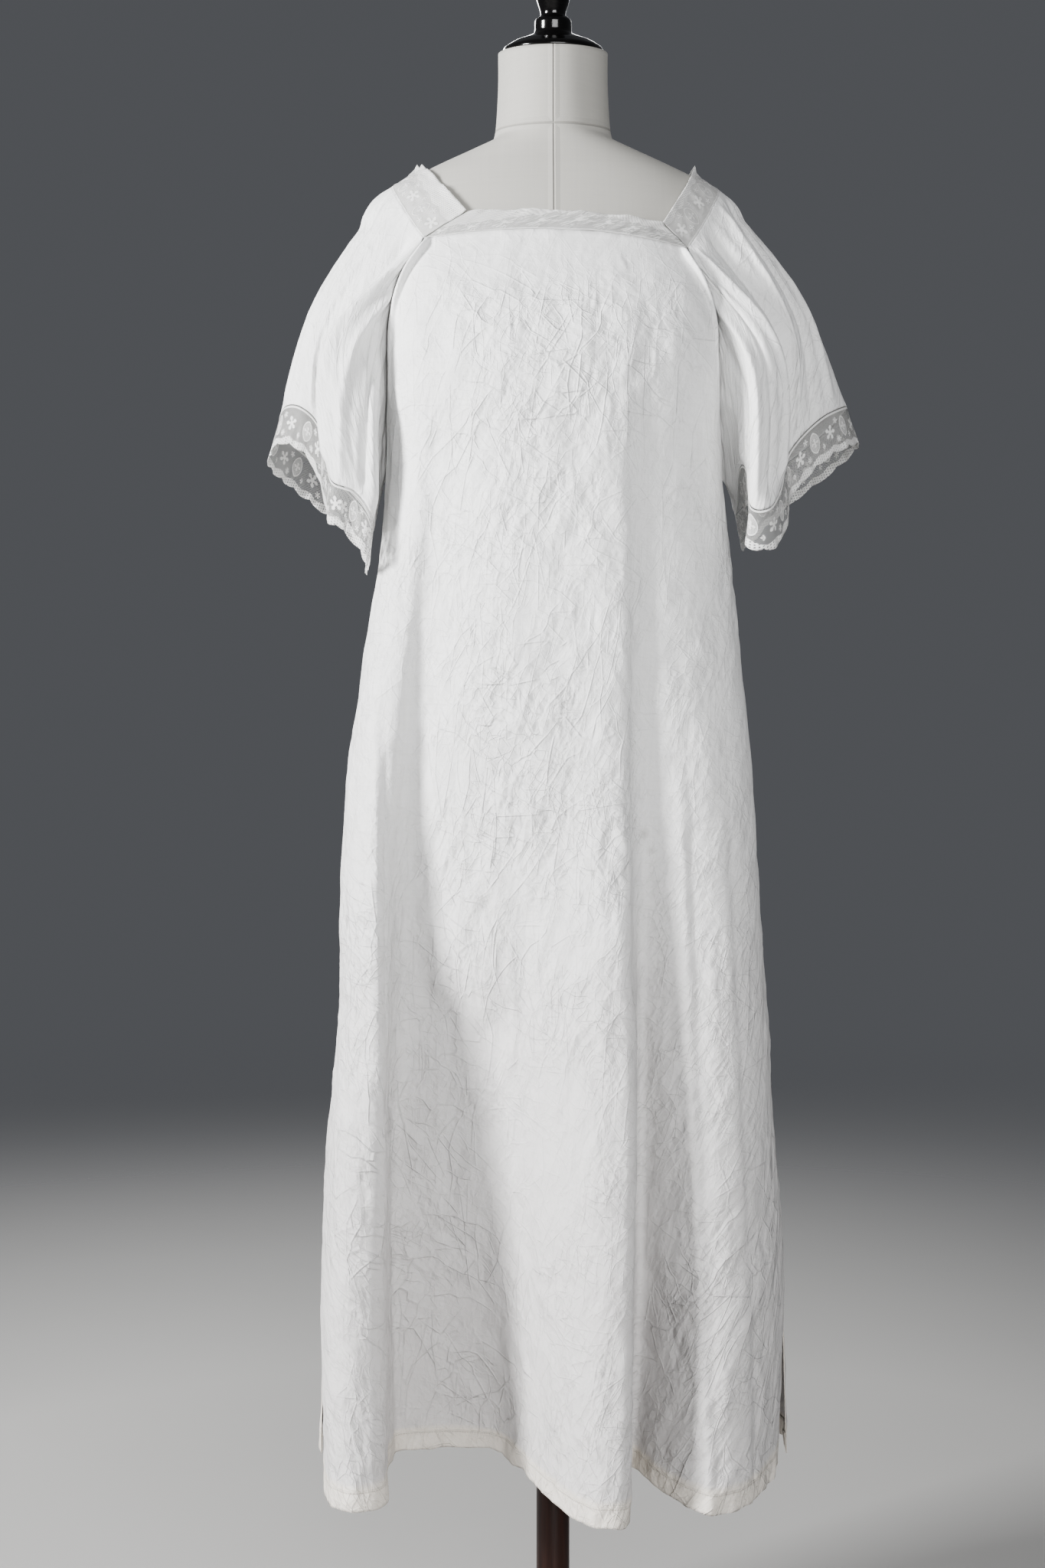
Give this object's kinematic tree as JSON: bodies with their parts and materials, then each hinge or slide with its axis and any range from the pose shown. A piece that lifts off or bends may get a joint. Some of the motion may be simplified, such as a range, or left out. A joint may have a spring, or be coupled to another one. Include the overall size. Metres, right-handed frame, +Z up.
{
  "type": "linen dress on a limbless dress form",
  "caption": "Long white linen dress with short wide sleeves, lace neck band and lace cuffs, standing open and hollow on a canvas dress form with pole and round base.",
  "frame": {"origin": "centre of the round base's underside, on the floor", "axes": "+Z up along the pole, the dress faces -Y, +X is the viewer's right (the wearer's left)"},
  "size_m": [0.6025, 0.38, 1.78],
  "materials": {
    "linen": "matt plain-weave linen, washed white, lightly creased",
    "cotton_lace": "matt white cotton net lace with floral sprigs",
    "canvas": "matt off-white canvas pulled tight",
    "black_lacquer": "gloss black lacquer on turned wood",
    "dark_wood": "dark red-brown stained wood, satin varnish"
  },
  "bodies": {
    "root": {"front": "linen", "back": "linen", "sleeve_left": "linen", "sleeve_right": "linen", "neck_lace_front": "cotton_lace", "neck_lace_back": "cotton_lace", "neck_lace_left": "cotton_lace", "neck_lace_right": "cotton_lace", "cuff_lace_left": "cotton_lace", "cuff_lace_right": "cotton_lace", "form_torso": "canvas", "neck_cap": "black_lacquer", "pole": "dark_wood", "base": "dark_wood"}
  },
  "joints": []
}
